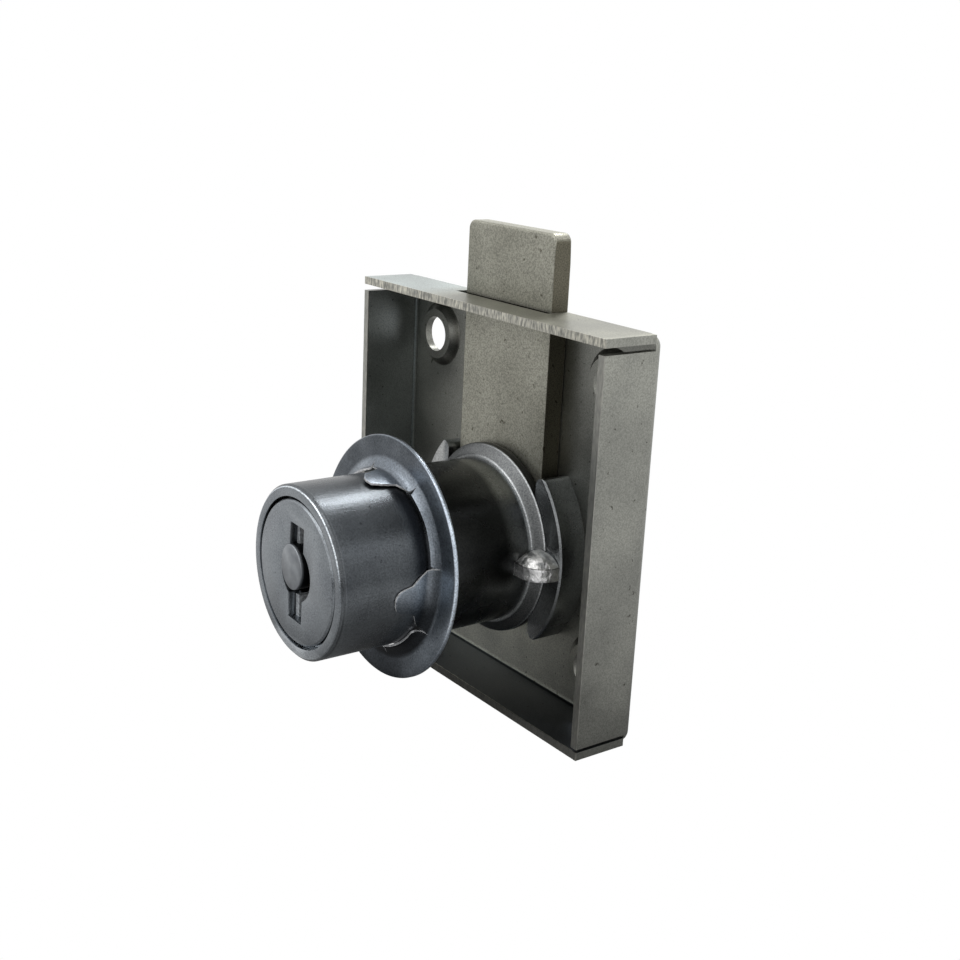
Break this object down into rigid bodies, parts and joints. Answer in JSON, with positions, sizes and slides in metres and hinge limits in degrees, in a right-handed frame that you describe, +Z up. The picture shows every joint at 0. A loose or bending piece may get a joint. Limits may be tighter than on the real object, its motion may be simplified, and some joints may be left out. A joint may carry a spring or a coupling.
{
  "type": "drawer lock",
  "caption": "Surface-mounted drawer lock: a pressed steel case with screw holes, a long round cylinder with a loose trim ring, and a flat bolt thrown upwards by the key.",
  "frame": {"origin": "on the cylinder's axis, in the plane of the case's open rim, which lies against the back of the drawer front", "axes": "+X to the right as seen from the front, +Y to the back, into the drawer, +Z up, the way the bolt is thrown"},
  "size_m": [0.0446, 0.0305, 0.0533],
  "materials": {
    "pressed_steel": "dull plated sheet, finely pitted",
    "cast_metal": "satin plated casting",
    "rivet_steel": "satin",
    "spring_steel": "bright",
    "plated_steel": "satin plated sheet",
    "pin_steel": "satin",
    "cam_metal": "satin",
    "screw_steel": "bright",
    "bolt_steel": "tumbled, finely pitted",
    "tumbler_brass": "stamped"
  },
  "bodies": {
    "lock_case": {"case": "pressed_steel", "cylinder_housing": "cast_metal", "housing_rivets": "rivet_steel", "bolt_spring": "spring_steel"},
    "key_plug": {"plug": "cast_metal", "key_pin": "pin_steel", "drive_cam": "cam_metal", "cam_screw": "screw_steel", "tumbler_spring_1": "spring_steel", "tumbler_spring_2": "spring_steel", "tumbler_spring_3": "spring_steel", "tumbler_spring_4": "spring_steel", "tumbler_spring_5": "spring_steel", "tumbler_spring_6": "spring_steel"},
    "bolt": {"bolt": "bolt_steel"},
    "trim_ring": {"trim_ring": "plated_steel"},
    "tumbler_1": {"tumbler_1": "tumbler_brass"},
    "tumbler_2": {"tumbler_2": "tumbler_brass"},
    "tumbler_3": {"tumbler_3": "tumbler_brass"},
    "tumbler_4": {"tumbler_4": "tumbler_brass"},
    "tumbler_5": {"tumbler_5": "tumbler_brass"},
    "tumbler_6": {"tumbler_6": "tumbler_brass"}
  },
  "joints": [
    {"name": "plug_turn", "type": "hinge", "parent": "lock_case", "child": "key_plug", "pos_m": [0, 0, 0], "axis": [0, 1, 0], "range_deg": [0, 180]},
    {"name": "bolt_slide", "type": "slide", "parent": "lock_case", "child": "bolt", "axis": [0, 0, 1], "range_m": [-0.0083, 0]},
    {"name": "trim_slide", "type": "slide", "parent": "lock_case", "child": "trim_ring", "axis": [0, 1, 0], "range_m": [-0.0095, 0.009]},
    {"name": "tumbler_1_slide", "type": "slide", "parent": "key_plug", "child": "tumbler_1", "axis": [0, 0, 1], "range_m": [0, 0.0006], "stiffness_N_per_m": 40, "springref_m": 0.004, "deforming": ["tumbler_spring_1"]},
    {"name": "tumbler_2_slide", "type": "slide", "parent": "key_plug", "child": "tumbler_2", "axis": [0, 0, -1], "range_m": [0, 0.0006], "stiffness_N_per_m": 40, "springref_m": 0.004, "deforming": ["tumbler_spring_2"]},
    {"name": "tumbler_3_slide", "type": "slide", "parent": "key_plug", "child": "tumbler_3", "axis": [0, 0, 1], "range_m": [0, 0.0006], "stiffness_N_per_m": 40, "springref_m": 0.004, "deforming": ["tumbler_spring_3"]},
    {"name": "tumbler_4_slide", "type": "slide", "parent": "key_plug", "child": "tumbler_4", "axis": [0, 0, -1], "range_m": [0, 0.0006], "stiffness_N_per_m": 40, "springref_m": 0.004, "deforming": ["tumbler_spring_4"]},
    {"name": "tumbler_5_slide", "type": "slide", "parent": "key_plug", "child": "tumbler_5", "axis": [0, 0, 1], "range_m": [0, 0.0006], "stiffness_N_per_m": 40, "springref_m": 0.004, "deforming": ["tumbler_spring_5"]},
    {"name": "tumbler_6_slide", "type": "slide", "parent": "key_plug", "child": "tumbler_6", "axis": [0, 0, -1], "range_m": [0, 0.0006], "stiffness_N_per_m": 40, "springref_m": 0.004, "deforming": ["tumbler_spring_6"]}
  ],
  "couplings": [
    {"joint": "plug_turn", "follows": "bolt_slide", "rad_per_m": -377}
  ]
}
